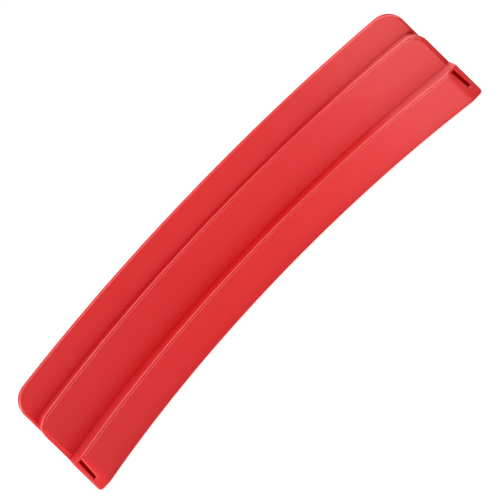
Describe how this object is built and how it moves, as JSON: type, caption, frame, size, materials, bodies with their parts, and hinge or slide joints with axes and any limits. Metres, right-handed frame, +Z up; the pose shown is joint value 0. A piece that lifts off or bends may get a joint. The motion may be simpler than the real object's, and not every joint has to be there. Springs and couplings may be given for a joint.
{
  "type": "kick shield",
  "caption": "Curved, stepped red plastic guard panel in three long bands, with a slotted lip at each end for fastening.",
  "frame": {"origin": "centre of the footprint box, in the plane of the bottom edge", "axes": "+X along the panel, +Y from the hollow side to the bulging back, +Z up across the bands, from the lowest band to the upper one"},
  "size_m": [0.35, 0.068, 0.0756],
  "materials": {
    "red_plastic": "satin"
  },
  "bodies": {
    "root": {"upper_band": "red_plastic", "middle_band": "red_plastic", "lower_band": "red_plastic", "left_socket": "red_plastic", "right_socket": "red_plastic"}
  },
  "joints": []
}
